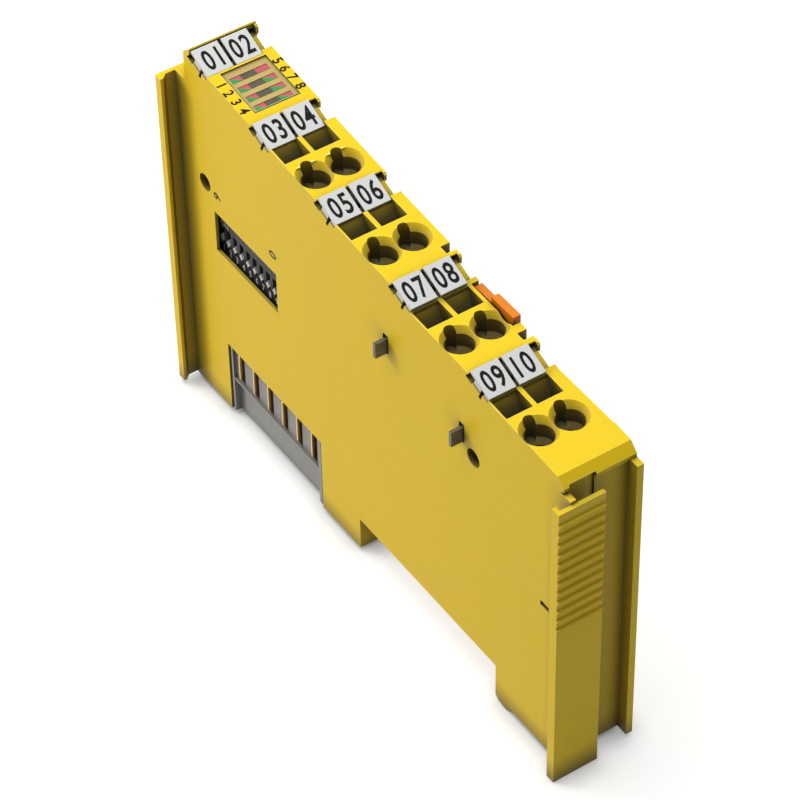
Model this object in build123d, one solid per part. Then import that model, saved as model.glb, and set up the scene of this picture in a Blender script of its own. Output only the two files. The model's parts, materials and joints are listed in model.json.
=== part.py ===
"""Slim control-cabinet input module that snaps onto a 35 mm mounting rail.

Frame, in mm: X is the width, Y the length with the status lamps at +Y, and Z
points away from the rail. The origin is on the plane of the rail's top, midway
between its edges and midway across the module.
"""
import math
import os

from build123d import *

os.makedirs("parts", exist_ok=True)

# Overall sizes
width = 12.0
wall = 1.0
cover_t = 0.8
x_left = -width / 2
x_right = width / 2
x_cover = x_right - cover_t
y_far = 64.9
y_near = -35.1
z_seat = 0.0
z_base = -6.2
z_shelf = 55.2

# Front, from the lamps to the grip. A marker row lies between each two zones.
marker_pitch = 4.9
zone_first = 54.65
zone_length = [11.5, 12.0, 13.7, 13.7, 15.65]
zone_far_z = [60.05, 58.15, 56.15, 53.6, 51.7]
zone_near_z = [58.95, 57.15, 55.4, 53.25, 50.8]
zones = []
for length, far_z, near_z in zip(zone_length, zone_far_z, zone_near_z):
    far_y = zones[-1][2] - marker_pitch if zones else zone_first
    zones.append((far_y, far_z, far_y - length, near_z))
lip_y = zone_first + marker_pitch
lip_z = 61.2
lip_top = 62.0
lip_t = 1.8
front_edge = x_right - 0.55
chamfer_y = y_near + 2.2
chamfer_z = 49.4
near_face = y_near + 2.7
band_z = 48.75

# Marker strips, tilted towards the near end
marker_tilt = 22.0
marker_rise = 0.7
marker_set = 0.34
marker_t = 0.82
marker_plate = 0.45
marker_foot = 1.35
marker_w = 4.4
marker_gap = 0.55
marker_side = 0.15
marker_in = 0.9
groove_end = x_left + marker_side + 2 * marker_w + marker_gap + 0.1
fit_gap = 0.03

# Wire entries
column_x = (x_left + 2.7, x_right - 4.25)
cone_r = 2.85
cone_h = 0.9
neck_r = 2.17
neck_h = 2.3
lead_h = 0.8
wire_r = 1.35
square_w = 4.33
square_l = 3.8
square_in = 0.3
square_straight = 0.6
throat_w = 3.3
throat_l = 1.7
groove_r = 0.92
entry_back = 12.7
chamber_w = 3.8
chamber_far = 5.4
chamber_near = 3.4
chamber_top = 4.3

# Rail, its feet and the claws
rail_half = 17.5
foot_y = rail_half + 0.1
claw_x = x_right - 2.0
claw_tip = rail_half - 1.9
claw_top = -1.15
claw_low = -3.3
foot_low = z_base - 0.95
base_near = foot_y + 3.7

# Hollow for the electronics
bay_far = y_far - 3.0
bay_near = y_near + 4.5
floor_z = z_base + wall
roof_drop = 14.9
roof = [(bay_far, zones[0][1] - roof_drop)]
roof += [(zone[0], zone[1] - roof_drop) for zone in zones[1:]]

# Circuit board
board_x0 = x_left + wall + 2.7
board_t = 1.6
board_x1 = board_x0 + board_t
board_top = roof[-1][1] - 0.6

# Windows and holes of the left wall
dip_y0, dip_y1 = 38.3, 55.3
dip_z0, dip_z1 = 26.2, 34.0
bus_y0, bus_y1 = 27.85, 53.95
bus_z1 = 7.75
peg_holes = [(57.5, 38.15), (-12.1, 38.0)]
peg_r = 1.5
peg_depth = 3.0

# Status window
win_x0, win_x1 = x_left + 1.95, x_right - 2.25
win_y0, win_y1 = zones[0][2] + 1.9, zone_first - 0.25
win_t = 1.1
win_sunk = 0.3
lamp_pitch = 2.15
lamp_rows = [win_y1 - 1.9 - lamp_pitch * i for i in range(4)]
lamp_l = 1.1

# Current rails that pass from module to module: y, low z, high z
power_rails = {"far": (9.2, 41.3, 44.0), "near": (-9.4, 39.2, 41.9)}
blade_t = 0.6
blade_out = 2.0
fork_x = x_cover - 2.7
fork_w = 1.05

# Release strap and rail latch
strap_x1 = x_cover - 0.1
strap_x0 = strap_x1 - 0.7
handle_x0, handle_x1 = x_right - 1.4, x_right - 0.1
pocket_x = x_right - 1.83
pocket_y0, pocket_y1 = -6.9, 2.95
strap_top = 53.1
handle_top = 54.2
strap_foot = 3.0
stem_y0, stem_y1 = -5.0, -1.0
pocket_floor = 45.5
strap_travel = 3.0
latch_travel = 2.0
peg_y, peg_z = -foot_y - 4.2, -0.8
strap_near = peg_y - 3.8
pin_r = 0.6
pin_gap = 0.05
spring_x, spring_y = strap_x0 - 1.25, -12.0
spring_seat = 2.0
spring_z0, spring_z1 = 5.2, 15.0


def block(x0, x1, y0, y1, z0, z1):
    centre = Pos((x0 + x1) / 2, (y0 + y1) / 2, (z0 + z1) / 2)
    return centre * Box(abs(x1 - x0), abs(y1 - y0), abs(z1 - z0))


def side_prism(points, x0, x1):
    """A prism across the module from points in Y and Z."""
    face = make_face(Polyline(*points, close=True))
    return extrude(Plane.YZ.offset(x0) * face, amount=x1 - x0)


def plan_prism(points, z0, z1):
    """An upright prism from points in X and Y."""
    face = make_face(Polyline(*points, close=True))
    return extrude(Plane.XY.offset(z0) * face, amount=z1 - z0)


def rod_x(y, z, r, x0, x1):
    return Pos((x0 + x1) / 2, y, z) * Rot(0, 90, 0) * Cylinder(r, x1 - x0)


def rod_z(x, y, r, z0, z1):
    return Pos(x, y, (z0 + z1) / 2) * Cylinder(r, z1 - z0)


def save(name, shape):
    export_step(shape, "parts/" + name + ".step")


def zone_z(row, y):
    ya, za, yb, zb = zones[row]
    return za + (zb - za) * (ya - y) / (ya - yb)


def marker_start(row):
    return lip_y if row == 0 else zones[row - 1][2]


def marker_point(row, s, h):
    """Y and Z at a distance s from the marker's far edge and h below its top."""
    edge_z = lip_z if row == 0 else zones[row - 1][3]
    ty = -math.cos(math.radians(marker_tilt))
    tz = -math.sin(math.radians(marker_tilt))
    y = marker_start(row) - marker_set
    return (y + s * ty - h * tz, edge_z + marker_rise + s * tz + h * ty)


def marker_prism(row, points, x0, x1):
    return side_prism([marker_point(row, s, h) for s, h in points], x0, x1)


marker_length = (marker_pitch - 0.45) / math.cos(math.radians(marker_tilt))


def front_outline():
    edge = 0.12
    pts = [(lip_y + lip_t, z_shelf), (lip_y + lip_t, lip_top - 1.45)]
    pts += [(lip_y + 0.15, lip_top), (lip_y, lip_top - 0.15), (lip_y, lip_z)]
    for ya, za, yb, zb in zones[:-1]:
        pts += [(ya, za), (yb + edge, zb), (yb, zb - edge)]
    ya, za, yb, zb = zones[-1]
    pts += [(ya, za), (yb, zb), (chamfer_y, chamfer_z)]
    return pts


def base_outline():
    """Rail recess and feet, from the near end to the far end."""
    return [
        (near_face, z_base),
        (-base_near, z_base),
        (-base_near + 1.0, foot_low),
        (-base_near + 2.0, foot_low + 0.1),
        (-foot_y - 0.6, foot_low + 0.5),
        (-foot_y, z_base),
        (-foot_y, z_seat),
        (foot_y, z_seat),
        (foot_y, z_base),
    ]


# Housing body: the left wall, the whole front and both ends
profile = [(y_far, z_base), (y_far, z_shelf)] + front_outline()
profile += [(chamfer_y, band_z), (near_face, band_z)] + base_outline()
body = side_prism(profile, x_left, x_right)

cover_far, cover_near = y_far - 2.0, near_face
cover_far_z, cover_near_z = 50.0, 44.27
cover_fall = (cover_far_z - cover_near_z) / (cover_far - cover_near)
cover_line = [(y_far + 1, cover_far_z + cover_fall * (y_far + 1 - cover_far))]
cover_line += [(near_face - 1, cover_near_z - cover_fall), (near_face - 1, -9.0), (y_far + 1, -9.0)]
body -= side_prism(cover_line, x_cover, x_right + 1)

bay = [(bay_far, floor_z), (bay_far, roof[0][1])]
for i in range(1, len(roof)):
    bay += [(roof[i][0], roof[i - 1][1]), (roof[i][0], roof[i][1])]
bay += [(bay_near, roof[-1][1]), (bay_near, floor_z)]
bay += [(-foot_y - wall, floor_z), (-foot_y - wall, z_seat + wall)]
bay += [(foot_y + wall, z_seat + wall), (foot_y + wall, floor_z)]
body -= side_prism(bay, x_left + wall, x_cover + 1)
body -= block(x_left + wall, x_right - 3.8, bay_far - 1, y_far - 0.9, floor_z, z_shelf - 1.0)
# Room for the neighbour's hooked flange at the right of the far end
body -= block(x_right - 3.0, x_right + 1, cover_far, y_far + 1, -8, z_shelf + 1)

# Right edge of the front, set back as far as the last wire entries
setback = [(front_edge, y_far), (front_edge, zones[4][0])]
setback += [(x_right - 0.1, zones[4][0] - 12.0), (x_right + 1, zones[4][0] - 12.0), (x_right + 1, y_far)]
body -= plan_prism(setback, cover_far_z, lip_top + 1)

# Marker grooves with an undercut at each end
for row in range(5):
    near_s = marker_length + fit_gap
    top = [(-fit_gap, -2), (near_s, -2), (near_s, marker_t + fit_gap), (-fit_gap, marker_t + fit_gap)]
    middle = [(1.2, marker_t), (3.05, marker_t), (3.05, marker_foot + 0.05), (1.2, marker_foot + 0.05)]
    far = [(-fit_gap, 1.0), (-0.3, 1.3), (-0.3, 1.85), (1.2, 1.85), (1.2, marker_t - 0.1), (-fit_gap, marker_t)]
    near = [(3.05, marker_t), (3.6, marker_t), (3.6, 2.2), (3.05, 2.2)]
    for shape in (top, middle, near):
        body -= marker_prism(row, shape, x_left - 1, groove_end)
    body -= marker_prism(row, far, x_left - 1, front_edge - 0.45)
    ramp = [(0.75, -2), (4.2, -2), (4.2, 2.0), (3.9, 2.0), (3.9, 1.3), (0.75, 1.3)]
    body -= marker_prism(row, ramp, groove_end - 0.1, x_right + 1)
    body -= marker_prism(row, [(-fit_gap, -2), (1, -2), (1, 1.3), (-fit_gap, 1.3)], groove_end - 0.1, front_edge - 0.45)
    body -= marker_prism(row, [(0.75, 1), (4.2, 1), (4.2, 3.6), (0.75, 3.6)], front_edge - 0.6, x_right + 1)
    # The end cap that closes the undercut at the right
    y = marker_start(row)
    z = lip_z + 0.5 if row == 0 else zones[row - 1][3]
    cap = [(y + 0.1, z - 1.3), (y + 0.1, z), (y - 0.35, z), (y - 0.65, z - 0.3), (y - 0.65, z - 1.5)]
    body += side_prism(cap, front_edge - 0.45, front_edge)

# Wire entries: a square tool funnel, a round funnel and a clamp chamber each
entries = []
for row in range(1, 5):
    for cx in column_x:
        wy = marker_start(row) - entry_back
        wz = zone_z(row, wy)
        entries.append((row, cx, wy, wz))
for row, cx, wy, wz in entries:
    sx = cx - square_in
    far_y = marker_start(row) - marker_set - marker_length * math.cos(math.radians(marker_tilt))
    top_y = far_y - square_l / 2
    top_z = zone_z(row, top_y)
    body -= block(sx - square_w / 2, sx + square_w / 2, top_y - square_l / 2, far_y,
                  top_z - square_straight, top_z + 0.8)
    mouth = Plane((sx, top_y, top_z - square_straight + 0.01))
    throat = Plane((cx, wy + 4.3, wz - 6.0))
    body -= loft([mouth * Rectangle(square_w, square_l), throat * Rectangle(throat_w, throat_l)])
    spread = (cone_r - neck_r) / cone_h
    cone = Pos(cx, wy, wz - cone_h / 2 + 0.1) * Cone(neck_r, cone_r + 0.2 * spread, cone_h + 0.2)
    neck = rod_z(cx, wy, neck_r, wz - cone_h - neck_h, wz - cone_h + 0.05)
    lead = Pos(cx, wy, wz - cone_h - neck_h - lead_h / 2) * Cone(wire_r, neck_r, lead_h)
    body -= cone + neck + lead
    body -= rod_z(cx, wy, wire_r, wz - chamber_top - 0.5, wz - cone_h - neck_h)
    body -= rod_z(cx, wy + 2.35, groove_r, wz - 3.9, wz + 1)
    low = min(z for y, z in roof if y > wy - chamber_near) - 1
    half = chamber_w / 2
    body -= block(cx - half, cx + half, wy - chamber_near, wy + chamber_far, low, wz - chamber_top)
    if cx > 0:
        body -= block(board_x1 - 0.05, cx, wy + 4.05, wy + 4.95, low, wz - 10.5)

# Status window seat and its shaft
seat_z = zone_z(0, (win_y0 + win_y1) / 2)


def window_band(low, high, y0, y1):
    """Corners of a strip parallel to the lamp zone's front, by depth below it."""
    return [
        (y0, zone_z(0, y0) - low),
        (y1, zone_z(0, y1) - low),
        (y1, zone_z(0, y1) - high),
        (y0, zone_z(0, y0) - high),
    ]


body -= side_prism(window_band(win_sunk + win_t, -1, win_y0, win_y1), win_x0, win_x1)
body -= block(win_x0 + 0.35, win_x1 - 0.35, win_y0 + 0.35, win_y1 - 0.35, roof[0][1] - 2, seat_z)

# Openings of the left wall
body -= block(x_left - 1, x_left + wall + 0.1, dip_y0, dip_y1, dip_z0, dip_z1)
body -= block(x_left + 0.5, x_left + wall + 0.1, dip_y0 - 1.2, dip_y1 + 2.6, 23.6, 34.6)
body -= block(x_left - 1, board_x0 + 0.1, bus_y0, bus_y1, z_base - 1, bus_z1)
body -= block(board_x1 - 0.1, x_cover + 1, bus_y0, bus_y1, z_base - 1, floor_z + 0.1)
body -= block(x_left - 1, x_left + 0.6, -30.15, -28.15, 22.8, 23.7)
for y, z in peg_holes:
    body += rod_x(y, z, peg_r + 0.8, x_left + wall - 0.1, x_left + peg_depth + 0.7)
    body -= rod_x(y, z, peg_r, x_left - 1, x_left + peg_depth)

# Right edge: pocket of the release strap, two notches and the tunnels
body -= block(pocket_x, x_right + 1, pocket_y0, pocket_y1, pocket_floor, 60)
body -= block(strap_x0 - 0.1, x_cover + 1, stem_y0 - 0.3, stem_y1 + 0.3, roof[-1][1] - 1, pocket_floor + 0.5)
for row, y0 in ((2, 8.4), (3, -9.95)):
    body -= block(x_right - 2.16, x_right + 1, y0, y0 + 1.55, zone_z(row, y0) - 1.8, 60)
for y, z0, z1 in power_rails.values():
    body -= block(x_left - 1, x_left + wall, y - 0.55, y + 0.75, z0 - 0.15, z1 + 0.6)
    body -= block(x_left + wall - 0.1, fork_x + 0.1, y - blade_t / 2, y + blade_t / 2, z0, z1)
    body -= block(fork_x, x_cover + 1, y - fork_w - 0.05, y + fork_w + 0.05, z0, z1)

# Claw and latch opening at the rail
body += block(-claw_x, claw_x, claw_tip, foot_y + 0.1, claw_low, claw_top)
body -= block(-claw_x - 0.1, claw_x + 0.1, -foot_y - wall - 0.1, -foot_y + 0.1, claw_low - 0.1, -1.0)

# Board supports
board_posts = [(y_far - 6.9, 12.0), (y_near + 10.1, 20.0)]
for y, z in board_posts:
    body += rod_x(y, z, 1.5, x_left + wall - 0.1, board_x0)

# Far end: a hooked flange that reaches over the neighbour
flange_x = x_left - 2.94
flange = [(x_left + 0.1, y_far), (flange_x, y_far), (flange_x, y_far - 1.45)]
flange += [(flange_x + 0.49, y_far - 1.45), (flange_x + 1.34, y_far - 0.7), (x_left + 0.1, y_far - 0.7)]
body += plan_prism(flange, z_base, z_shelf)

# Near end: pocket, stem and the ribbed grip plate
plate_x0, plate_x1 = x_left - 2.33, x_left + 5.37
stem_t = 0.95
body -= block(x_left + stem_t, plate_x1, near_face - 1.1, near_face + 1.0, z_base - 1, chamfer_z + 0.25)
plate_z1 = 47.8
stem_z1 = 48.35
grip = block(plate_x0, plate_x1, y_near, y_near + 0.7, foot_low, plate_z1)
grip += block(plate_x0, plate_x0 + 0.6, y_near, y_near + 1.6, foot_low, plate_z1)
grip += block(x_left, x_left + stem_t, y_near + 0.3, near_face + 0.9, z_base, plate_z1)
grip += block(x_left, x_left + stem_t, y_near + 0.7, near_face + 0.9, plate_z1 - 1, stem_z1)
rib_first = 45.5
rib_pitch = 1.86
rib_depth = 0.16
for i in range(12):
    z = rib_first - rib_pitch * i
    cut = [(y_near - 0.1, z), (y_near - 0.1, z + rib_pitch - 0.05)]
    cut += [(y_near, z + rib_pitch - 0.05), (y_near + rib_depth, z)]
    grip -= side_prism(cut, plate_x0 - 1, plate_x1 + 1)
body += grip
save("housing_body", body)

# Side cover with the flange that takes the neighbour's hook
side = [(cover_far, z_base), (cover_far, cover_far_z), (cover_near, cover_near_z)] + base_outline()
cover = side_prism(side, x_cover, x_right)
cover += block(x_right - 1.1, x_right, near_face - 2.1, near_face, z_base, band_z)
cover -= block(x_cover - 1, x_right + 1, bus_y0, bus_y1, z_base - 1, bus_z1)
for y, z0, z1 in power_rails.values():
    cover -= block(x_cover - 1, x_right + 1, y - 0.5, y + 0.5, z0 - 0.1, z1 + 0.1)
for y, z in board_posts:
    cover += rod_x(y, z, 1.5, board_x1, x_cover + 0.1)
cover += block(spring_x - 1.25, x_cover + 0.1, spring_y - spring_seat, spring_y + spring_seat,
               spring_z1, spring_z1 + 1.4)
save("side_cover", cover)

# Circuit board with a tab that carries the status lamps
board_low = z_seat + wall + 0.6
tab_z = 57.3
tab_y0, tab_y1 = win_y0 + 0.5, win_y1 - 0.5
board_pts = [(bay_far - 0.9, floor_z + 0.6), (bay_far - 0.9, board_top), (tab_y1, board_top), (tab_y1, tab_z)]
board_pts += [(tab_y0, tab_z), (tab_y0, board_top), (bay_near + 0.8, board_top), (bay_near + 0.8, board_low)]
board_pts += [(foot_y + wall + 0.6, board_low), (foot_y + wall + 0.6, floor_z + 0.6)]
save("circuit_board", side_prism(board_pts, board_x0, board_x1))

# Parts on the board
save("controller_chip_a", block(board_x1, board_x1 + 1.4, 8, 18, 16, 26))
save("controller_chip_b", block(board_x1, board_x1 + 1.4, -10, 0, 16, 26))
save("supply_transformer", block(board_x1, board_x1 + 4.3, 24, 34, 14, 25))
isolators = [block(board_x1, board_x1 + 2.0, y, y + 4.4, 28.5, 35) for y in (-27, -15, 4, 22)]
save("signal_isolators", Compound(children=isolators))
save("buffer_capacitor", Pos(board_x1 + 2.0, 46, 24) * Cylinder(2.0, 12))
lamps = []
for y in lamp_rows:
    lamps.append(block(board_x0 - lamp_l, board_x0, y - 0.5, y + 0.5, tab_z - 1.7, tab_z))
    lamps.append(block(board_x1, board_x1 + lamp_l, y - 0.5, y + 0.5, tab_z - 1.7, tab_z))
save("status_lamps", Compound(children=lamps))

# Window over the lamps, with four slots in its face
glass_pts = window_band(win_sunk + win_t, win_sunk, win_y0 + fit_gap, win_y1 - fit_gap)
glass = side_prism(glass_pts, win_x0 + fit_gap, win_x1 - fit_gap)
for y in lamp_rows:
    z = zone_z(0, y) - win_sunk
    glass -= block(win_x0 + 0.7, win_x1 - 0.8, y - 0.6, y + 0.6, z - 0.3, z + 1)
save("status_window", glass)

# Address switch: body and ten sliders
dip_face = x_left + 1.4
way_pitch = 1.83
way_first = 55.85
slider_w = 1.0
slider_h = 1.5
slider_travel = 1.5
slider_z = 27.7
ways = [way_first - way_pitch * i for i in range(10)]
dip = block(dip_face, board_x0, way_first + 1.45, ways[-1] - 1.45, 23.9, 34.3)
z0 = slider_z - slider_h / 2 - 0.05
z1 = slider_z + slider_h / 2 + slider_travel + 0.05
for y in ways:
    half = slider_w / 2 + 0.05
    dip -= block(dip_face - 1, dip_face + 1.1, y - half, y + half, z0, z1)
save("address_switch_body", dip)
for i, y in enumerate(ways):
    half = slider_w / 2
    knob = block(dip_face - 0.15, dip_face + 1.05, y - half, y + half,
                 slider_z - slider_h / 2, slider_z + slider_h / 2)
    save("address_slider_%d" % (i + 1), knob)

# Bus contacts on the left and their pads on the right
bus_face = x_left + 0.2
panel_up = x_left + 0.75
panel_low = x_left + 1.25
contact_back = x_left + 3.0
ledge_z = 1.05
con_y0, con_y1 = 28.3, 53.55
contact_t = 0.4
slot_w = 1.5
contact_y = [51.4 - 4.07 * i for i in range(6)]
carrier = block(panel_low, board_x0, con_y0, con_y1, z_base, ledge_z)
carrier += block(panel_up, board_x0, con_y0, con_y1, ledge_z - 0.3, bus_z1)
carrier += block(bus_face, panel_low + 0.1, con_y0, con_y1, ledge_z - 0.3, ledge_z)
carrier += block(bus_face, panel_low + 0.1, con_y1 - 0.5, con_y1, z_base, bus_z1)
carrier += block(bus_face, panel_low + 0.1, con_y0, con_y0 + 0.8, z_base, bus_z1)
carrier += block(x_left + wall, board_x0, 26.9, 54.9, floor_z, bus_z1 + 1)
carrier -= block(x_left + wall - 0.1, panel_low, con_y0 + 0.8, con_y1 - 0.5, z_base, ledge_z - 0.3)
carrier -= block(x_left + wall - 0.1, panel_up, con_y0, con_y1, bus_z1 + 2, bus_z1 + 3)
for y in contact_y:
    carrier -= block(x_left - 1, contact_back, y - slot_w, y, ledge_z, bus_z1 + 0.6)
save("contact_carrier", carrier)
gold = []
for y in contact_y:
    blade = [(contact_back, ledge_z), (bus_face + 0.6, ledge_z), (bus_face, ledge_z + 1.2)]
    blade += [(bus_face, bus_z1 - 0.9), (bus_face + 0.5, bus_z1 - 0.05), (contact_back, bus_z1 - 0.05)]
    face = make_face(Polyline(*blade, close=True))
    leaf = extrude(Plane.XZ.offset(-y) * face, amount=contact_t)
    gold.append(leaf)
save("bus_contacts", Compound(children=gold))

pad_face = x_right - 0.6
rest = block(board_x1, x_cover, 26.9, 54.9, floor_z, bus_z1 + 1)
rest += block(x_cover - 0.1, pad_face, con_y0, con_y1, floor_z, bus_z1)
rest += block(board_x1, pad_face, con_y0, con_y1, z_base, floor_z + 0.1)
pads = []
for y in contact_y:
    pad_box = (pad_face - 0.3, pad_face, y - slot_w, y, ledge_z, bus_z1 - 0.5)
    rest -= block(*pad_box)
    pads.append(block(*pad_box))
save("pad_carrier", rest)
save("bus_pads", Compound(children=pads))

# Current rails: a blade on the left, a fork on the right
for name, (y, z0, z1) in power_rails.items():
    t = blade_t / 2
    rail = block(x_left - blade_out, fork_x + 0.4, y - t, y + t, z0, z1)
    rail += block(fork_x, fork_x + 0.4, y - fork_w, y + fork_w, z0, z1)
    for side_sign in (-1, 1):
        leaf = [(fork_x + 0.1, y + side_sign * fork_w), (fork_x + 1.5, y + side_sign * 0.75)]
        leaf += [(fork_x + 2.5, y + side_sign * 1.0), (fork_x + 2.5, y + side_sign * 0.7)]
        leaf += [(fork_x + 1.5, y + side_sign * 0.4), (fork_x + 0.1, y + side_sign * 0.7)]
        rail += plan_prism(leaf, z0, z1)
    save("power_rail_" + name, rail)

# Wire clamps: a current bar down to the board and a bent spring on it
bar_t = 0.8
for n, (row, cx, wy, wz) in enumerate(entries, start=1):
    bar_z = wz - 10.6
    half = 1.5
    bar = block(cx - half, cx + half, wy - 2.9, wy + 4.9, bar_z - bar_t, bar_z)
    face_x = board_x0 if cx < 0 else board_x1
    near_x = min(face_x, cx)
    far_x = max(face_x, cx)
    bar += block(near_x, far_x, wy + 4.1, wy + 4.9, board_top - 3, bar_z)
    save("current_bar_%d" % n, bar)
    path = [(wy + 4.5, bar_z), (wy + 4.5, wz - 6.4), (wy + 3.6, wz - 5.0)]
    path += [(wy + 2.2, wz - 4.6), (wy + 1.0, wz - 5.2), (wy - 0.4, bar_z)]
    back = [(wy - 0.85, bar_z), (wy + 0.65, wz - 5.0), (wy + 2.1, wz - 4.3 - 0.02)]
    back += [(wy + 3.8, wz - 4.7), (wy + 4.85, wz - 6.3), (wy + 4.85, bar_z)]
    save("clamp_spring_%d" % n, side_prism(path + back, cx - 1.6, cx + 1.6))

# Marker strips
for row in range(5):
    for col in range(2):
        x0 = x_left + marker_side + col * (marker_w + marker_gap)
        x1 = x0 + marker_w
        plate = [(0, 0), (marker_length, 0), (marker_length, marker_t), (3.65, marker_t)]
        plate += [(3.65, marker_plate), (0, marker_plate)]
        foot = [(1.3, 0.3), (2.95, 0.3), (2.95, marker_foot), (1.3, marker_foot)]
        clip = [(0.08, 0.3), (0.6, 0.3), (0.6, 1.75), (-0.2, 1.75), (-0.2, 1.4), (0.08, 1.16)]
        heel = [(3.12, 0.3), (3.5, 0.3), (3.5, 1.9), (3.12, 1.9)]
        strip = marker_prism(row, plate, x0, x1) + marker_prism(row, foot, x0, x1)
        for leg in (clip, heel):
            strip += marker_prism(row, leg, x0 + marker_in, x1 - marker_in)
        side_name = "left" if col == 0 else "right"
        save("marker_%d_%s" % (row + 1, side_name), strip)

# Release strap with a slanted slot, its return spring and the latch
low_z = strap_top - 3.2
handle = [(pocket_y1 - 0.15, low_z), (pocket_y1 - 0.15, strap_top), (-1.2, strap_top)]
handle += [(-1.2, handle_top), (-6.4, handle_top), (-6.4, low_z)]
strap = side_prism(handle, handle_x0, handle_x1)
strap += block(strap_x0, strap_x1, stem_y0, stem_y1, strap_foot, low_z + 0.1)
strap += block(strap_x0, strap_x1, strap_near, stem_y1, strap_foot, spring_z0)
strap += block(spring_x - 1.25, strap_x1, spring_y - 1.5, spring_y + 1.5, spring_z0 - 1.3, spring_z0)
strap += block(strap_x0, strap_x1, strap_near, peg_y + 1.6, peg_z - 4.1, strap_foot + 0.1)
slot_r = pin_r + pin_gap
run = math.hypot(latch_travel, strap_travel)
ny = -strap_travel / run * slot_r
nz = latch_travel / run * slot_r
end_y = peg_y - latch_travel
end_z = peg_z - strap_travel
slot = [(peg_y + ny, peg_z + nz), (end_y + ny, end_z + nz)]
slot += [(end_y - ny, end_z - nz), (peg_y - ny, peg_z - nz)]
strap -= side_prism(slot, strap_x0 - 1, strap_x1 + 1)
strap -= rod_x(peg_y, peg_z, slot_r, strap_x0 - 1, strap_x1 + 1)
strap -= rod_x(end_y, end_z, slot_r, strap_x0 - 1, strap_x1 + 1)
save("release_strap", strap)

latch_far, latch_near = -foot_y - wall - 0.1, peg_y - 4.2
latch_pts = [(latch_near, floor_z + 0.05), (latch_near, claw_top - 0.2), (latch_far, claw_top - 0.2)]
latch_pts += [(latch_far, claw_top - 0.1), (-claw_tip, claw_top - 0.1), (-claw_tip, claw_top - 0.75)]
latch_pts += [(-claw_tip - 1.4, claw_low + 0.05), (latch_far, claw_low + 0.05), (latch_far, floor_z + 0.05)]
latch = side_prism(latch_pts, -claw_x, claw_x)
latch += block(strap_x0 - 2.0, strap_x0 - 0.15, peg_y - 1.2, peg_y + 1.2, claw_top - 0.35, peg_z + 1.0)
latch += rod_x(peg_y, peg_z, pin_r, strap_x0 - 0.2, strap_x1 - 0.05)
save("rail_latch", latch)

coil_r = 0.95
wire = 0.15
turns = 6
turn_steps = 10
coil_h = spring_z1 - spring_z0 - 2 * wire
coil_pts = []
for i in range(turns * turn_steps + 1):
    a = 2 * math.pi * i / turn_steps
    z = spring_z0 + wire + coil_h * i / (turns * turn_steps)
    coil_pts.append((spring_x + coil_r * math.cos(a), spring_y + coil_r * math.sin(a), z))
coil_path = Polyline(*coil_pts)
coil_face = Plane(coil_path @ 0, z_dir=coil_path % 0) * RegularPolygon(wire, 6)
save("return_spring", sweep(coil_face, path=coil_path, transition=Transition.RIGHT))
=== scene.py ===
# %% [markdown]
# # A yellow input module with an address switch
#
# The solids of the module come from a CAD file, already in place and in metres.
# This lesson dresses them: it rounds their edges, gives each one a plastic or
# metal that is made from nodes, and adds the thin print and the lamp colours.
# X runs across the module, Y along it, and Z up from its foot to its front.

# %% Load the solids
import json
import math

import bmesh
import bpy
from mathutils import Matrix, Vector

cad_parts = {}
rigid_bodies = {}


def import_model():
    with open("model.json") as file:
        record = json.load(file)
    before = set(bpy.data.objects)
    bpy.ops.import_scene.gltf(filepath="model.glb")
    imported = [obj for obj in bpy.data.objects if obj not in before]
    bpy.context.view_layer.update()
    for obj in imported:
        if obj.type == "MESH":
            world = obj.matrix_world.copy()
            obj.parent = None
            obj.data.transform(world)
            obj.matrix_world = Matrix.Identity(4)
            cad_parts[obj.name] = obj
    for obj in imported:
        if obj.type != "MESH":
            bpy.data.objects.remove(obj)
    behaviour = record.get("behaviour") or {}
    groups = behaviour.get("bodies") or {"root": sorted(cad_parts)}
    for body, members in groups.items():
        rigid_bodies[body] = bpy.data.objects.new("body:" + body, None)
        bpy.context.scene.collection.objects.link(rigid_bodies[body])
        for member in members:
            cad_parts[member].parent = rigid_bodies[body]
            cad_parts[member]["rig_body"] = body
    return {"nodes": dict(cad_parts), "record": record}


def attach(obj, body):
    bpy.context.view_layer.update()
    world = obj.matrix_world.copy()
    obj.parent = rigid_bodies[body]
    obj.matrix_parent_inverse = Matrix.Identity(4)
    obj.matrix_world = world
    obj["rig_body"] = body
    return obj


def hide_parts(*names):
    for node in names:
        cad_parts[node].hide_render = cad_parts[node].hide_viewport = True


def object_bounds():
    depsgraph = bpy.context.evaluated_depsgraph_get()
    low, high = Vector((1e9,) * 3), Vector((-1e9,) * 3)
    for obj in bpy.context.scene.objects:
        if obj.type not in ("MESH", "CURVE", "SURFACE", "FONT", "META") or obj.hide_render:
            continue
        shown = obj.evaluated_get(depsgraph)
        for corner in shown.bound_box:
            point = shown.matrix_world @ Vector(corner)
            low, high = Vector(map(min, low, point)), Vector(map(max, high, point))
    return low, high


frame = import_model()
nodes = frame["nodes"]
cad_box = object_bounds()
scene = bpy.context.scene
MM = 0.001
print("solids:", len(nodes))

# %% [markdown]
# ## Camera
#
# The photograph was taken from above the near end, with a long lens. Its place
# and turn were solved from the corners of the module, so they are written here
# as three directions: right, down and forward. A Blender camera looks along its
# own -Z, so the forward direction is turned round to fill the third column.

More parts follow.
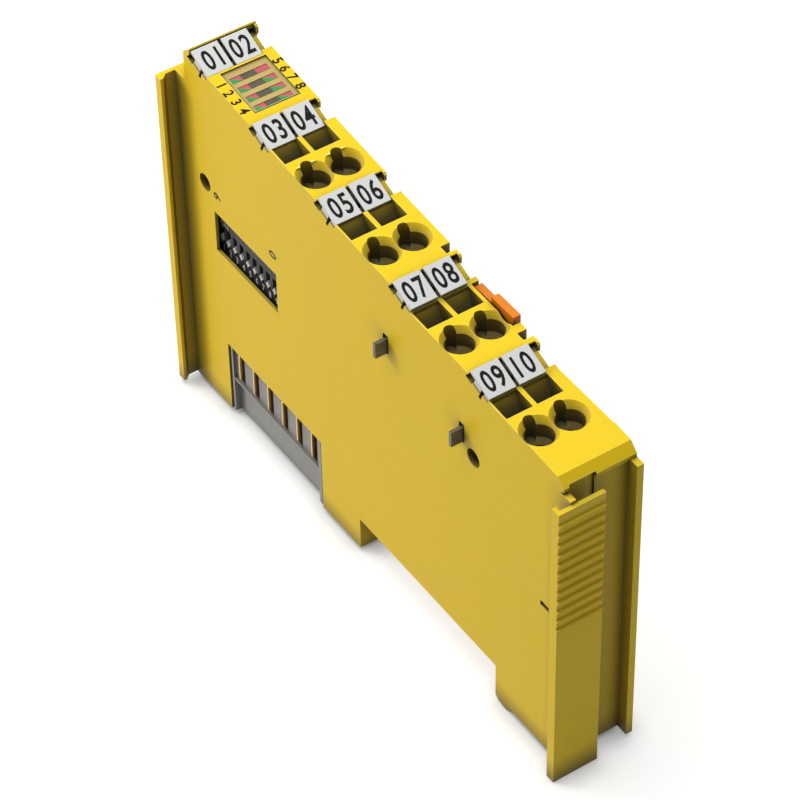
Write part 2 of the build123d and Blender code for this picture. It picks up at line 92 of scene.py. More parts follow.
# %% Camera
camera_data = bpy.data.cameras.new("photo_camera")
camera_data.sensor_width = 36.0
camera_data.lens = 162.04
camera_data.clip_start = 0.01
camera_data.clip_end = 10.0
camera = bpy.data.objects.new("photo_camera", camera_data)
scene.collection.objects.link(camera)
camera_place = (-0.20263, -0.295155, 0.39096)
right = Vector((0.828548, -0.559697, -0.015708))
down = Vector((-0.403347, -0.577168, -0.710062))
forward = Vector((0.388354, 0.594657, -0.703964))
turn = Matrix((right, -down, -forward)).transposed().to_4x4()
camera.matrix_world = Matrix.Translation(camera_place) @ turn
scene.camera = camera
scene.view_settings.view_transform = "Standard"

# %% [markdown]
# ## Short words for nodes
#
# A material is a tree of small nodes. Five helpers keep the trees below short:
# one feeds a socket from a value or from another socket, one makes a node with
# its inputs fed, two make the kinds that come up most, Math and Mix, and the
# last gives a colour its alpha.

# %% Node helpers


def feed(tree, socket, given):
    """Link a socket to another one, or set its value."""
    if isinstance(given, bpy.types.NodeSocket):
        tree.links.new(given, socket)
    else:
        socket.default_value = given


def new_node(tree, kind, given=()):
    """A node of this kind, with the inputs that are given by name or place."""
    node = tree.nodes.new("ShaderNode" + kind)
    for key, value in dict(given).items():
        feed(tree, node.inputs[key], value)
    return node


def calculated(tree, operation, *values, clamp=False):
    """The result of a Math node."""
    node = new_node(tree, "Math", enumerate(values))
    node.operation = operation
    node.use_clamp = clamp
    return node.outputs[0]


def mixed(tree, factor, a, b, blend="MIX"):
    """The result of a Mix node for two colours."""
    node = tree.nodes.new("ShaderNodeMix")
    node.data_type = "RGBA"
    node.blend_type = blend
    for key, value in (("Factor", factor), ("A", a), ("B", b)):
        feed(tree, node.inputs[key], value)
    return node.outputs["Result"]


def solid_colour(rgb):
    return (*rgb, 1)


# %% [markdown]
# ## Floor and world
#
# A product photograph has a white floor that keeps a soft shadow. The camera
# sees a little extra light on the floor, through Light Path, so that it comes
# out white without more light on the module. An Ambient Occlusion mask fades that
# extra light right under the module, which paints a contact shadow there. From below the floor is clear.

# %% Floor
WHITE = (1, 1, 1, 1)
floor_grey, floor_glow = 0.5, 0.66
painted_shadow_reach = 0.004
floor_half, floor_gap = 1.5, 0.00005


def seen_only(tree):
    """A mask that is 1 for what the camera sees, directly or in a reflection."""
    path = new_node(tree, "LightPath")
    direct = calculated(tree, "MAXIMUM", path.outputs["Is Camera Ray"], path.outputs["Is Glossy Ray"])
    return calculated(tree, "MAXIMUM", direct, path.outputs["Is Transmission Ray"])


def make_floor():
    material = bpy.data.materials.new("pale_floor")
    material.use_nodes = True
    tree = material.node_tree
    tree.nodes.clear()
    plain = new_node(tree, "BsdfDiffuse", {"Color": (floor_grey, floor_grey, floor_grey, 1)})
    # Painted contact shadow: an AO mask dims the camera-only glow near the module.
    painted_floor_shadow = new_node(tree, "AmbientOcclusion", {"Distance": painted_shadow_reach})
    level = calculated(tree, "MULTIPLY", painted_floor_shadow.outputs["AO"], floor_glow)
    strength = calculated(tree, "MULTIPLY", seen_only(tree), level)
    glow = new_node(tree, "Emission", {"Color": WHITE, "Strength": strength})
    lit = new_node(tree, "AddShader", {0: plain.outputs[0], 1: glow.outputs[0]})
    from_below = new_node(tree, "NewGeometry").outputs["Backfacing"]
    clear = new_node(tree, "BsdfTransparent")
    shown = new_node(tree, "MixShader", {0: from_below, 1: lit.outputs[0], 2: clear.outputs[0]})
    new_node(tree, "OutputMaterial", {"Surface": shown.outputs[0]})
    z = cad_box[0].z - floor_gap
    corners = [(x * floor_half, y * floor_half, z) for x, y in ((-1, -1), (1, -1), (1, 1), (-1, 1))]
    mesh = bpy.data.meshes.new("floor")
    mesh.from_pydata(corners, [], [(0, 1, 2, 3)])
    mesh.materials.append(material)
    floor = bpy.data.objects.new("floor", mesh)
    scene.collection.objects.link(floor)


make_floor()

# %% [markdown]
# The room lights the module weakly from all sides, in a faintly warm grey. The
# camera sees it white, like the paper behind a product.

# %% World
room_colour, room_light = (1.0, 0.99, 0.97, 1), 0.17


def make_world():
    world = bpy.data.worlds.new("studio")
    scene.world = world
    world.use_nodes = True
    tree = world.node_tree
    tree.nodes.clear()
    dim = new_node(tree, "Background", {"Color": room_colour, "Strength": room_light})
    white = new_node(tree, "Background", {"Color": WHITE, "Strength": 1.0})
    shown = new_node(tree, "MixShader", {0: seen_only(tree), 1: dim.outputs[0], 2: white.outputs[0]})
    new_node(tree, "OutputWorld", {"Surface": shown.outputs[0]})


make_world()

# %% [markdown]
# ## Lamps
#
# The front of the module is bright and its sides are darker, so the main soft
# box hangs overhead. A warm one stands behind on the left, where the long wall
# gets brighter, and a weak one opens the shadows on the right.

# %% Lamps
middle = Vector((0.0, 0.015, 0.03))


def area_lamp(name, place, size, power, colour):
    """A round soft box, size metres across, that points at the module."""
    data = bpy.data.lights.new(name, "AREA")
    data.shape = "DISK"
    data.size = size
    data.energy = power
    data.color = colour
    lamp = bpy.data.objects.new(name, data)
    scene.collection.objects.link(lamp)
    lamp.location = place
    lamp.rotation_mode = "QUATERNION"
    lamp.rotation_quaternion = (middle - Vector(place)).to_track_quat("-Z", "Y")


area_lamp("overhead", (-0.10, 0.08, 0.78), 0.45, 3.85, (0.975, 1.0, 0.985))
area_lamp("left_behind", (-0.31, 0.40, 0.29), 0.24, 1.5, (1.0, 0.925, 0.83))
area_lamp("right_fill", (0.48, 0.30, 0.34), 0.35, 1.0, (1.0, 1.0, 1.0))

# %% [markdown]
# ## One shared finish for moulded plastic
#
# Every moulded piece has the same kind of surface: a very fine spark-eroded
# grain, with slow changes in gloss where the tool was polished or worn. A node
# group holds that once. It puts out only a tone, a roughness and a height, and
# each material feeds them with its own amounts.

# %% Group: moulded skin
grain_scale = 3500.0
cloud_scale = 90.0
skin_inputs = {"Grain Scale": grain_scale, "Gloss": 0.4, "Gloss Change": 0.06, "Tone Change": 0.03}


def moulded_skin_group():
    tree = bpy.data.node_groups.new("moulded_skin", "ShaderNodeTree")
    for name, value in skin_inputs.items():
        socket = tree.interface.new_socket(name, in_out="INPUT", socket_type="NodeSocketFloat")
        socket.default_value = value
    for name in ("Tone", "Roughness", "Height"):
        tree.interface.new_socket(name, in_out="OUTPUT", socket_type="NodeSocketFloat")
    given = tree.nodes.new("NodeGroupInput").outputs
    place = new_node(tree, "TexCoord").outputs["Object"]
    grain = new_node(tree, "TexNoise", {"Vector": place, "Scale": given["Grain Scale"], "Detail": 3.0})
    cloud = new_node(tree, "TexNoise", {"Vector": place, "Scale": cloud_scale, "Detail": 2.0})
    centred = calculated(tree, "SUBTRACT", cloud.outputs["Fac"], 0.5)
    result = tree.nodes.new("NodeGroupOutput").inputs
    feed(tree, result["Tone"], calculated(tree, "MULTIPLY_ADD", centred, given["Tone Change"], 1.0))
    rough = calculated(tree, "MULTIPLY_ADD", centred, given["Gloss Change"], given["Gloss"])
    feed(tree, result["Roughness"], rough)
    feed(tree, result["Height"], grain.outputs["Fac"])
    return tree


moulded_skin = moulded_skin_group()

# %% [markdown]
# ## Painted shade in corners, painted highlights on edges of plastic
#
# Two masks paint light and shade into the colour of a moulding. Narrow holes
# and corners get a painted shade: an Ambient Occlusion node finds them, and there the colour turns dark.
# Sharp edges get a painted highlight that makes them look paler: a Bevel node
# turns the normal near an edge, and how far it turns is the mask.

# %% Masks
edge_highlight_contrast = 3.4


def shut_in(tree, reach, depth):
    """The mask of the painted shade: it falls below 1 in corners and holes that are narrower than reach."""
    near = new_node(tree, "AmbientOcclusion", {"Distance": reach})
    near.samples = 8
    return calculated(tree, "POWER", near.outputs["AO"], depth)


def edge_mask(tree, radius):
    """The mask of the painted edge highlight: 0 on a flat face, growing towards an edge over radius metres.
    """
    rounding = new_node(tree, "Bevel", {"Radius": radius})
    rounding.samples = 4
    flat = new_node(tree, "NewGeometry").outputs["True Normal"]
    same = new_node(tree, "VectorMath", {0: rounding.outputs["Normal"], 1: flat})
    same.operation = "DOT_PRODUCT"
    return calculated(tree, "MULTIPLY_ADD", same.outputs["Value"], -edge_highlight_contrast, edge_highlight_contrast, clamp=True)


# %% [markdown]
# ## Plastics
#
# A plastic is one Principled shader. The base colour is multiplied by the
# group's tone, so a flat wall isn't one dead colour, and the two masks mix in
# the painted edge highlight and the painted corner shade. Numbers that are the
# same all over, such as the coat, go straight on the shader.

# %% Plastic
# The colour of the painted edge highlight.
edge_highlight_colour = (1.0, 0.84, 0.22)
skin_depth = 0.00004


def plastic(name, colour, gloss, grain=grain_scale, bump=0.12, coat=0.0, tone_change=0.05,
            shine=0.5, corners=(0.003, 1.0), painted_shade_colour=(0.0, 0.0, 0.0), edge=0.0):
    """corners is the reach and depth of the painted shade in them; edge is the width of the painted edge
    highlight.
    """
    material = bpy.data.materials.new(name)
    material.use_nodes = True
    tree = material.node_tree
    shader = tree.nodes["Principled BSDF"]
    skin = tree.nodes.new("ShaderNodeGroup")
    skin.node_tree = moulded_skin
    for key, value in (("Grain Scale", grain), ("Gloss", gloss), ("Tone Change", tone_change)):
        feed(tree, skin.inputs[key], value)
    lit = mixed(tree, 1.0, solid_colour(colour), skin.outputs["Tone"], blend="MULTIPLY")
    # Painted highlight: near a sharp edge the colour is mixed towards a pale colour.
    if edge:
        lit = mixed(tree, edge_mask(tree, edge), lit, solid_colour(edge_highlight_colour))
    # Painted shade: where the AO mask finds a corner or hole, the colour is mixed towards a dark shade
    # colour.
    shaded = mixed(tree, shut_in(tree, *corners), solid_colour(painted_shade_colour), lit)
    height = new_node(tree, "Bump", {"Strength": bump, "Distance": skin_depth,
                                     "Height": skin.outputs["Height"]})
    look = {"Base Color": shaded, "Roughness": skin.outputs["Roughness"], "Normal": height.outputs["Normal"],
            "Coat Weight": coat, "Coat Roughness": 0.2, "Specular IOR Level": shine, "IOR": 1.5}
    for key, value in look.items():
        feed(tree, shader.inputs[key], value)
    return material


# %% [markdown]
# The housing is yellow polyamide with a satin face. Its corners get an olive
# painted shade and its edges a pale painted highlight. The strap is the same plastic
# in orange. Markers and sliders are white, the contact carrier is grey, and the switch is nearly black.

# %% The plastics of the module
# The dark colour given to the housing is the olive painted shade of its corners and holes; the last number
# is the width of its painted edge highlight.
yellow = plastic("yellow_polyamide", (0.92, 0.645, 0.012), 0.45, shine=0.2, corners=(0.005, 2.0),
                 painted_shade_colour=(0.07, 0.06, 0.038), edge=0.00018)
yellow_rib = plastic("yellow_rib_edge", (0.92, 0.66, 0.03), 0.45, shine=0.18, corners=(0.0004, 0.3))
orange = plastic("orange_polyamide", (0.80, 0.235, 0.012), 0.40, shine=0.25, corners=(0.002, 0.6))
marker_white = plastic("marker_white", (0.77, 0.77, 0.765), 0.5, bump=0.08, tone_change=0.02, shine=0.3)
carrier_grey = plastic("carrier_grey", (0.33, 0.33, 0.33), 0.5)
switch_dark = plastic("switch_dark", (0.05, 0.05, 0.055), 0.45, shine=0.2, corners=(0.0008, 0.8))
slider_white = plastic("slider_white", (0.88, 0.89, 0.89), 0.4, corners=(0.0005, 0.3))
chip_black = plastic("chip_epoxy", (0.02, 0.02, 0.022), 0.55, grain=6000.0)
board_green = plastic("board_solder_mask", (0.02, 0.11, 0.05), 0.3, coat=0.4)
window_tan = plastic("window_tinted", (0.55, 0.40, 0.10), 0.2, bump=0.03, coat=0.6)
lamp_clear = plastic("lamp_lens", (0.6, 0.62, 0.58), 0.25, bump=0.02)

# %% [markdown]
# ## Metals
#
# Metals are brushed strip or plated blades. Fine lines come from a noise that
# is stretched along the strip, so they change the roughness and the height.

# %% Metals
line_scale = (800.0, 9000.0, 800.0)
line_dark, line_rough, line_bump, line_depth = 0.86, 0.14, 0.1, 0.00003


def strip_metal(name, colour, gloss):
    material = bpy.data.materials.new(name)
    material.use_nodes = True
    tree = material.node_tree
    shader = tree.nodes["Principled BSDF"]
    place = new_node(tree, "TexCoord").outputs["Object"]
    stretched = new_node(tree, "Mapping", {"Vector": place, "Scale": line_scale}).outputs["Vector"]
    lines = new_node(tree, "TexNoise", {"Vector": stretched, "Scale": 1.0}).outputs["Fac"]
    dark = [c * line_dark for c in colour]
    height = new_node(tree, "Bump", {"Strength": line_bump, "Distance": line_depth, "Height": lines})
    look = {"Metallic": 1.0, "Base Color": mixed(tree, lines, solid_colour(dark), solid_colour(colour)),
            "Roughness": calculated(tree, "MULTIPLY_ADD", lines, line_rough, gloss),
            "Normal": height.outputs["Normal"]}
    for key, value in look.items():
        feed(tree, shader.inputs[key], value)
    return material


tinned = strip_metal("tinned_copper", (0.72, 0.71, 0.68), 0.28)
dull_tin = strip_metal("dull_tin", (0.17, 0.165, 0.145), 0.42)
spring_steel = strip_metal("spring_steel", (0.62, 0.62, 0.61), 0.24)
gold = strip_metal("gold_plate", (0.95, 0.62, 0.26), 0.25)
can_aluminium = strip_metal("can_aluminium", (0.8, 0.8, 0.81), 0.3)

# %% [markdown]
# ## Dress the solids
#
# Each solid takes the finish of its own material slot in the record. Only the
# two current rails differ from their slot: they take a dark, dull tin.

# %% Give each solid its finish
finish_of_slot = {
    "yellow_housing": yellow,
    "strap_orange": orange,
    "marker_white": marker_white,
    "carrier_grey": carrier_grey,
    "switch_blue": switch_dark,
    "slider_white": slider_white,
    "window_tan": window_tan,
    "lamp_clear": lamp_clear,
    "board_green": board_green,
    "chip_black": chip_black,
    "can_aluminium": can_aluminium,
    "tinned_copper": tinned,
    "spring_steel": spring_steel,
    "contact_gold": gold,
}
for part in frame["record"]["subparts"]:
    solid = nodes[part["node"]]
    dull = part["node"].startswith("power_rail")
    solid.data.materials.clear()
    solid.data.materials.append(dull_tin if dull else finish_of_slot[part["material_slot"]])
print("finishes:", len(finish_of_slot))

# %% [markdown]
# ## Softer edges
#
# A moulded edge is never sharp: it has a radius of about a tenth of a
# millimetre, and that is what catches the light. A solid from CAD comes as
# loose triangles, so a copy is merged, its flat faces are joined again, and a
# Bevel modifier rounds what stays as a real edge.

# %% Rounded copies
merge_distance = 2e-6
flat_angle, edge_angle = math.radians(0.6), math.radians(32.0)


def rounded_copy(node, radius):
    source = nodes[node]
    mesh = bpy.data.meshes.new(node + "_rounded")
    shape = bmesh.new()
    shape.from_mesh(source.data)
    bmesh.ops.remove_doubles(shape, verts=shape.verts, dist=merge_distance)
    bmesh.ops.dissolve_limit(
        shape, angle_limit=flat_angle, use_dissolve_boundaries=False,
        verts=shape.verts, edges=shape.edges)
    shape.to_mesh(mesh)
    shape.free()
    if "custom_normal" in mesh.attributes:
        mesh.attributes.remove(mesh.attributes["custom_normal"])
    for polygon in mesh.polygons:
        polygon.use_smooth = True
    mesh.materials.clear()
    mesh.materials.append(source.data.materials[0])
    piece = bpy.data.objects.new(node + "_rounded", mesh)
    scene.collection.objects.link(piece)
    soften = piece.modifiers.new("soften", "BEVEL")
    soften.width = radius
    soften.segments = 2
    soften.limit_method = "ANGLE"
    soften.angle_limit = edge_angle
    soften.harden_normals = True
    body = source["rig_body"]
    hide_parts(node)
    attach(piece, body)


round_by = {"release_strap": 0.15, "contact_carrier": 0.06, "rail_latch": 0.12}
for i in range(1, 6):
    for side in ("left", "right"):
        round_by["marker_%d_%s" % (i, side)] = 0.12
for node, radius in round_by.items():
    rounded_copy(node, radius * MM)
print("rounded:", len(round_by))

# %% [markdown]
# ## Print
#
# The numbers on the markers and beside the window are printed, so they are
# thin: a text curve becomes a flat mesh, and that mesh is laid on its surface.
# `along` is the way the writing runs and `up` the way its letters stand.

# %% Ink and its helper
ink_lift = 0.012


def ink(name, colour, gloss):
    return plastic(name, colour, gloss, bump=0.03, tone_change=0.1, shine=0.08, corners=(0.0004, 0.2))


ink_black = ink("print_black", (0.012, 0.012, 0.012), 0.45)
ink_white = ink("print_white", (0.85, 0.86, 0.87), 0.5)


def plain_mesh(thing):
    """The thing as it looks with its modifiers or its curve worked out; the thing itself goes."""
    bpy.context.view_layer.update()
    seen = thing.evaluated_get(bpy.context.evaluated_depsgraph_get())
    mesh = bpy.data.meshes.new_from_object(seen)
    bpy.data.objects.remove(thing)
    return mesh


def added_piece(name, mesh, body):
    piece = bpy.data.objects.new(name, mesh)
    scene.collection.objects.link(piece)
    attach(piece, body)
    return piece


def printed(name, words, size, centre, along, up, material, squeeze=1.0, bold=0.02, apart=1.0):
    """Print in millimetres: the words' middle lies at centre, letters are size tall."""
    curve = bpy.data.curves.new(name + "_line", "FONT")
    curve.body = words
    curve.align_x = "CENTER"
    curve.align_y = "CENTER"
    curve.size = 1.0
    curve.offset = bold
    curve.space_character = apart
    curve.resolution_u = 4
    line = bpy.data.objects.new(name + "_line", curve)
    scene.collection.objects.link(line)
    mesh = plain_mesh(line)
    xs = [v.co.x for v in mesh.vertices]
    ys = [v.co.y for v in mesh.vertices]
    mid_x, mid_y = (min(xs) + max(xs)) / 2, (min(ys) + max(ys)) / 2
    scale = size / (max(ys) - min(ys))
    along, up = Vector(along).normalized(), Vector(up).normalized()
    out = along.cross(up)
    for v in mesh.vertices:
        x = (v.co.x - mid_x) * scale * squeeze
        y = (v.co.y - mid_y) * scale
        v.co = (Vector(centre) + along * x + up * y + out * ink_lift) * MM
    mesh.materials.clear()
    mesh.materials.append(material)
    added_piece(name, mesh, "module")


# %% [markdown]
# ## Zones of the front
#
# The five zones of the front are known from the drawing: how long each one is
# along the module, and how high it starts and ends. A marker bridges each step,
# so its face runs from the end of one zone to the start of the next.

# %% Zones of the front
front_far_y, step_y = 54.65, 4.9
top_z = 61.2
zone_sizes = ((11.5, 60.05, 58.95), (12.0, 58.15, 57.15), (13.7, 56.15, 55.4),
              (13.7, 53.6, 53.25), (15.65, 51.7, 50.8))
zones = []
for length, far_z, near_z in zone_sizes:
    far_y = zones[-1][2] - step_y if zones else front_far_y
    zones.append((far_y, far_z, far_y - length, near_z))


def front_z(row, y):
    """How high the front is at y, in this row."""
    y0, z0, y1, z1 = zones[row]
    return z0 + (z1 - z0) * (y0 - y) / (y0 - y1)


# %% [markdown]
# ## Marker numbers
#
# Each marker is a white tile that lies at a slope between two zones, and the
# real ones come printed. Two stand side by side in a row, so the numbers run
# from 01 to 10. They are narrow, upright figures that nearly fill the tile.

# %% Marker numbers
tilt = math.radians(22)
marker_gap, marker_inset, marker_rise = 0.45, 0.34, 0.7
marker_long = (step_y - marker_gap) / math.cos(tilt)
marker_columns = (-3.65, 1.3)
marker_number_tall = 3.45
ACROSS = (1, 0, 0)
up_marker = (0, math.cos(tilt), math.sin(tilt))


def marker_middle(row):
    """Y and Z of the middle of a marker's top."""
    far_y = zones[0][0] + step_y if row == 0 else zones[row - 1][2]
    far_z = top_z if row == 0 else zones[row - 1][3]
    s = marker_long / 2
    return far_y - marker_inset - s * math.cos(tilt), far_z + marker_rise - s * math.sin(tilt)


for row in range(5):
    y, z = marker_middle(row)
    for column, x in enumerate(marker_columns):
        number = 2 * row + column + 1
        printed("marker_number_%d" % number, "%02d" % number, marker_number_tall, (x, y, z), ACROSS,
                up_marker, ink_black, squeeze=0.68, bold=0.018, apart=1.16)

# %% [markdown]
# ## Numbers beside the window
#
# A small number beside each lamp names its channel. These run along the module,
# so they are read from its side. They are printed on the housing in two columns.

# %% Numbers beside the window
lamp_number_rows = (52.3, 50.4, 48.35, 46.25)
lamp_number_left, lamp_number_right, lamp_number_tall = -5.08, 4.55, 1.65
right_shift = 0.1
near_way = Vector((0, zones[0][2] - zones[0][0], zones[0][3] - zones[0][1])).normalized()
for i, y in enumerate(lamp_number_rows):
    for number, x, at in ((i + 1, lamp_number_left, y), (i + 5, lamp_number_right, y + right_shift)):
        printed("lamp_number_%d" % number, str(number), lamp_number_tall, (x, at, front_z(0, at)),
                near_way, ACROSS, ink_black, squeeze=0.95)

# %% [markdown]
# ## Print on the switch and on the left wall
#
# The switch has a white number under each of its ten ways, and ON above the
# first. The wall over the switch has a 9 at one end of the row and a 0 at the
# other.

# %% Print on the switch and on the left wall
switch_x = -4.6
wall_x = -6.0
way_first, way_pitch = 55.85, 1.83
switch_number_tall, switch_number_z, switch_number_shift = 1.25, 25.9, 0.35
switch_on_tall, wall_number_tall = 1.0, 1.9
NEARWARD, UPWARD, FARWARD = (0, -1, 0), (0, 0, 1), (0, 1, 0)
for i in range(10):
    place = (switch_x, way_first - switch_number_shift - way_pitch * i, switch_number_z)
    printed("switch_number_%d" % (i + 1), str(i + 1), switch_number_tall, place, NEARWARD, UPWARD,
            ink_white, squeeze=0.8 if i < 9 else 0.65)
printed("switch_on", "ON", switch_on_tall, (switch_x, 55.0, 30.75), NEARWARD, UPWARD, ink_white)
printed("wall_number_high", "9", wall_number_tall, (wall_x, 54.2, 37.6), UPWARD, FARWARD, ink_black)
printed("wall_number_low", "0", wall_number_tall, (wall_x, 39.0, 37.4), UPWARD, FARWARD, ink_black)

# %% [markdown]
# ## A tree that repeats a piece in a row
#
# Ribs, contacts and lamps all stand in even rows. One is drawn, and Geometry
# Nodes put a copy on each point of a line, so the pitch is one number. The
# copies are made real at the end, and the result becomes a plain mesh.

# %% A tree that repeats a piece in a row


def row_tree():
    tree = bpy.data.node_groups.new("repeat_in_row", "GeometryNodeTree")
    face = tree.interface
    face.new_socket("Geometry", in_out="INPUT", socket_type="NodeSocketGeometry")
    face.new_socket("Count", in_out="INPUT", socket_type="NodeSocketInt").default_value = 4
    face.new_socket("Step", in_out="INPUT", socket_type="NodeSocketVector")
    face.new_socket("Finish", in_out="INPUT", socket_type="NodeSocketMaterial")
    face.new_socket("Geometry", in_out="OUTPUT", socket_type="NodeSocketGeometry")
    put, link = tree.nodes.new, tree.links.new
    given, result = put("NodeGroupInput"), put("NodeGroupOutput")
    line = put("GeometryNodeMeshLine")
    link(given.outputs["Count"], line.inputs["Count"])
    link(given.outputs["Step"], line.inputs["Offset"])
    spread = put("GeometryNodeInstanceOnPoints")
    link(line.outputs["Mesh"], spread.inputs["Points"])
    link(given.outputs["Geometry"], spread.inputs["Instance"])
    real = put("GeometryNodeRealizeInstances")
    link(spread.outputs["Instances"], real.inputs["Geometry"])
    paint = put("GeometryNodeSetMaterial")
    link(real.outputs["Geometry"], paint.inputs["Geometry"])
    link(given.outputs["Finish"], paint.inputs["Material"])
    link(paint.outputs["Geometry"], result.inputs["Geometry"])
    return tree


repeat_in_row = row_tree()


def repeated(name, corners, thick, material, count=1, step=(0, 0, 0), body="module"):
    """A flat piece with these corners, thick millimetres thick, count times in a row."""
    shape = bmesh.new()
    face = shape.faces.new([shape.verts.new(Vector(c) * MM) for c in corners])
    face.normal_update()
    way = face.normal.copy()
    grown = bmesh.ops.extrude_face_region(shape, geom=[face])
    moved = [v for v in grown["geom"] if isinstance(v, bmesh.types.BMVert)]
    bmesh.ops.translate(shape, verts=moved, vec=way * thick * MM)
    bmesh.ops.recalc_face_normals(shape, faces=shape.faces)
    mesh = bpy.data.meshes.new(name + "_one")
    shape.to_mesh(mesh)
    shape.free()
    one = bpy.data.objects.new(name + "_one", mesh)
    scene.collection.objects.link(one)
    modifier = one.modifiers.new("row", "NODES")
    modifier.node_group = repeat_in_row
    sockets = {s.name: s.identifier for s in repeat_in_row.interface.items_tree if s.in_out == "INPUT"}
    modifier[sockets["Count"]] = count
    modifier[sockets["Step"]] = tuple(s * MM for s in step)
    modifier[sockets["Finish"]] = material
    return added_piece(name, plain_mesh(one), body)


# %% [markdown]
# ## Lamp colours
#
# Under each slot of the window sit two lamps. Each shows a red and a green
# half, parted along a diagonal, with a dark gap between the two lamps. Only the
# first lamp on the right is red all over.

# %% Lamp colours in the slots
lamp_red = plastic("lamp_red", (0.55, 0.10, 0.14), 0.4, bump=0.02, shine=0.3, corners=(0.0005, 0.5))
lamp_green = plastic("lamp_green", (0.035, 0.31, 0.075), 0.4, bump=0.02, shine=0.3, corners=(0.0005, 0.5))
lamp_gap = plastic("lamp_gap", (0.09, 0.08, 0.055), 0.4, bump=0.02, shine=0.3, corners=(0.0005, 0.5))
lens_t = 0.26

slot_y, slot_half, slot_pitch = 52.5, 0.58, 2.15
slot_far, slot_near = slot_y + slot_half, slot_y - slot_half
slot_floor = 0.58
left_x0, left_x1, right_x0, right_x1 = -3.33, -1.6, 0.85, 2.93
slot_step = (0, -slot_pitch, front_z(0, slot_y - slot_pitch) - front_z(0, slot_y))


def in_slot(points, row=0):
    """Corners from X and Y, put on the floor of the slot in this row."""
    z = front_z(0, slot_y) - slot_floor
    return [Vector((x, y, z)) + Vector(slot_step) * row for x, y in points]


def slot_block(name, x0, x1, rows, material):
    points = [(x0, slot_near), (x1, slot_near), (x1, slot_far), (x0, slot_far)]
    repeated(name, in_slot(points), lens_t, material, rows, slot_step)


def lamp_pair(name, x0, x1, rows, first):
    red = [(x1, slot_near), (x1, slot_far), (x0, slot_far)]
    green = [(x0, slot_near), (x1, slot_near), (x0, slot_far)]
    repeated(name + "_red", in_slot(red, first), lens_t, lamp_red, rows, slot_step)
    repeated(name + "_green", in_slot(green, first), lens_t, lamp_green, rows, slot_step)


lamp_pair("left_lamps", left_x0, left_x1, 4, 0)
lamp_pair("right_lamps", right_x0, right_x1, 3, 1)
slot_block("first_right_lamp", right_x0, right_x1, 1, lamp_red)
slot_block("lamp_gaps", left_x1, right_x0, 4, lamp_gap)

# %% [markdown]
# ## Slider knobs
#
# Each knob of the switch is a small four-pointed block that stands a little out
# of its slot, so that a fingernail finds it. Its outline is eight points.

# %% Knobs
knob_z, knob_sunk, knob_t = 27.7, 0.15, 1.0
point_reach, notch_reach = (0.54, 0.78), (0.25, 0.35)
for i in range(10):
    y = way_first - way_pitch * i
    outline = []
    for k in range(8):
        angle = math.radians(45 * k)
        wide, tall = notch_reach if k % 2 else point_reach
        outline.append((switch_x - knob_sunk, y + wide * math.cos(angle), knob_z + tall * math.sin(angle)))
    slider = "address_slider_%d" % (i + 1)
    knob = repeated("slider_knob_%d" % (i + 1), outline, knob_t, slider_white, body=slider)
    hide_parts(slider)

# %% [markdown]
# ## Contact blades and the edges of their slots
#
# Behind the low window each blade stands in a slot of the grey carrier. The
# slot is wide at the back and narrow at the front, where a cheek closes it. The
# blade's outline is cut at both ends, so that the next module slides on it.

# %% Contacts
contact_count, contact_step = 6, (0, -4.07, 0)
blade_y, blade_t, cheek_t = 51.32, 0.22, 0.4
blade_outline = [(-3.0, 7.7), (-5.3, 7.7), (-5.8, 6.85), (-5.8, 2.25), (-5.2, 1.05), (-3.0, 1.05)]


def side_panel(x, y0, y1, z0, z1):
    """The corners of a panel that faces left."""
    return [(x, y0, z0), (x, y1, z0), (x, y1, z1), (x, y0, z1)]


repeated("contact_cheeks", side_panel(-5.26, 49.7, 50.55, 1.05, 8.3), cheek_t, carrier_grey,
         contact_count, contact_step)
blades = repeated("contact_blades", [(x, blade_y, z) for x, z in blade_outline], blade_t, gold,
                  contact_count, contact_step)
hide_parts("bus_contacts")

# %% [markdown]
# ## Ribs of the grip
#
# The grip plate has a fine raised rib over each step. Its sloping top faces up
# and catches the light from above, which is how the ribs are seen at all.

# %% Rib edges
grip_y, grip_x, grip_wide = -35.1, -8.33, 7.7
rib_count, rib_step = 12, (0, 0, -1.86)
rib = [(grip_y + 0.15, 45.74), (grip_y - 0.22, 45.5), (grip_y - 0.22, 45.42), (grip_y + 0.02, 45.3)]
repeated("grip_ribs", [(grip_x, y, z) for y, z in rib], grip_wide, yellow_rib, rib_count, rib_step)

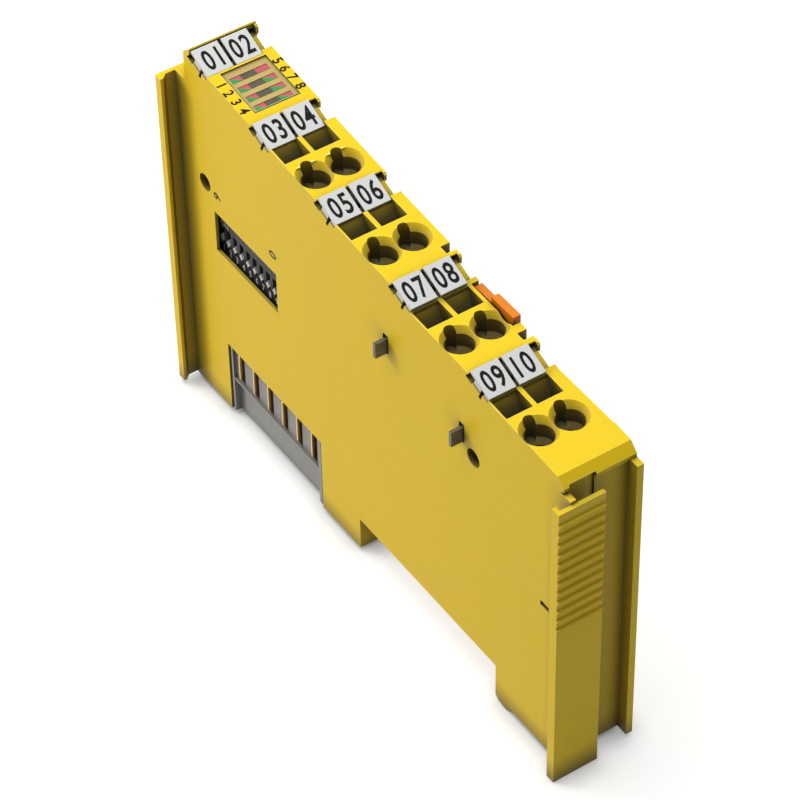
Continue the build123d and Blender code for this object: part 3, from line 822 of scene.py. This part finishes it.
# %% [markdown]
# ## Wall at the back of the near pocket
#
# Behind the grip the housing has a narrow pocket, closed at its back by a thin
# wall, so that nothing reaches the circuit board.

# %% Pocket wall
pocket_x0, pocket_x1, pocket_back, pocket_t = -5.05, -0.45, -32.0, 0.3
pocket_low, pocket_high = -7.0, 49.6
pocket = [(pocket_x0, pocket_back, pocket_low), (pocket_x0, pocket_back, pocket_high),
          (pocket_x1, pocket_back, pocket_high), (pocket_x1, pocket_back, pocket_low)]
repeated("pocket_wall", pocket, pocket_t, yellow_rib)

# %% [markdown]
# ## Edge of the window
#
# The window is a clear tinted plate. Its near edge shows a pale line, a painted
# highlight for light that leaves the plate, beside a dark one, where the plate meets the housing.

# %% Window edge
window_x0, window_x1, window_near, window_far = -4.05, 3.75, 45.05, 54.4
window_sunk = 0.3
dark_wide, dark_high, left_wide, left_high = 0.16, 0.295, 0.09, 0.27
pale_from, pale_to, pale_high = 0.2, 0.32, 0.31
edge_dark = plastic("window_edge_dark", (0.05, 0.06, 0.02), 0.4, shine=0.3)
# A pale colour that paints a highlight along the window's near edge.
painted_window_highlight = plastic("window_edge_pale", (0.46, 0.50, 0.25), 0.3, shine=0.4, corners=(0.0005, 0.3))


def window_line(name, x0, x1, y0, y1, high, material):
    """A strip on the window, from X and Y, high millimetres above the window."""
    ends = [(x0, y0), (x1, y0), (x1, y1), (x0, y1)]
    repeated(name, [(x, y, front_z(0, y) - window_sunk) for x, y in ends], high, material)


window_line("window_near_dark", window_x0, window_x1, window_near, window_near + dark_wide,
            dark_high, edge_dark)
# The pale strip is a painted highlight.
window_line("window_near_pale", window_x0 + pale_from, window_x1 - pale_from, window_near + pale_from,
            window_near + pale_to, pale_high, painted_window_highlight)
window_line("window_left_dark", window_x0, window_x0 + left_wide, window_near, window_far,
            left_high, edge_dark)

# %% [markdown]
# ## White lines on the switch
#
# Two short white lines are printed with the numbers: one stands beside the
# first way, and one lies under the second number.

# %% White lines on the switch
line_x, line_t = switch_x - 0.01, 0.01
repeated("switch_line", side_panel(line_x, 56.83, 57.05, 26.5, 30.1), line_t, ink_white)
repeated("switch_bar", side_panel(line_x, 52.2, 54.6, 24.25, 24.6), line_t, ink_white)
